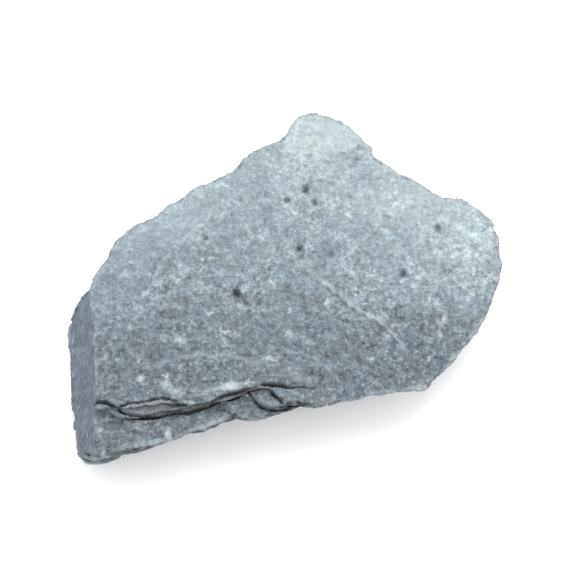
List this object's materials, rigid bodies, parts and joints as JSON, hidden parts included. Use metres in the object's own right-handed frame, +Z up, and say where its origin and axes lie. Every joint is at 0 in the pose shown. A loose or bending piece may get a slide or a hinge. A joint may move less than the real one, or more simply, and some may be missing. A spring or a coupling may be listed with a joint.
{
  "type": "slate rock",
  "caption": "Loose flat slate rock with a broad cleavage face, a front ledge under an open parting, layered broken edges and a flat underside.",
  "frame": {"origin": "on the surface the rock lies on, under the middle of its bounding box", "axes": "+Z up, out of the broad cleavage face; +X along the rock's length, to the viewer's right; +Y away from the viewer, towards the peak"},
  "size_m": [0.1052, 0.0898, 0.0237],
  "materials": {
    "slate": "matt bluish-grey cleavage face with fine light flecks and dark pits, darker layered edges"
  },
  "bodies": {
    "root": {"slate_stone": "slate"}
  },
  "joints": []
}
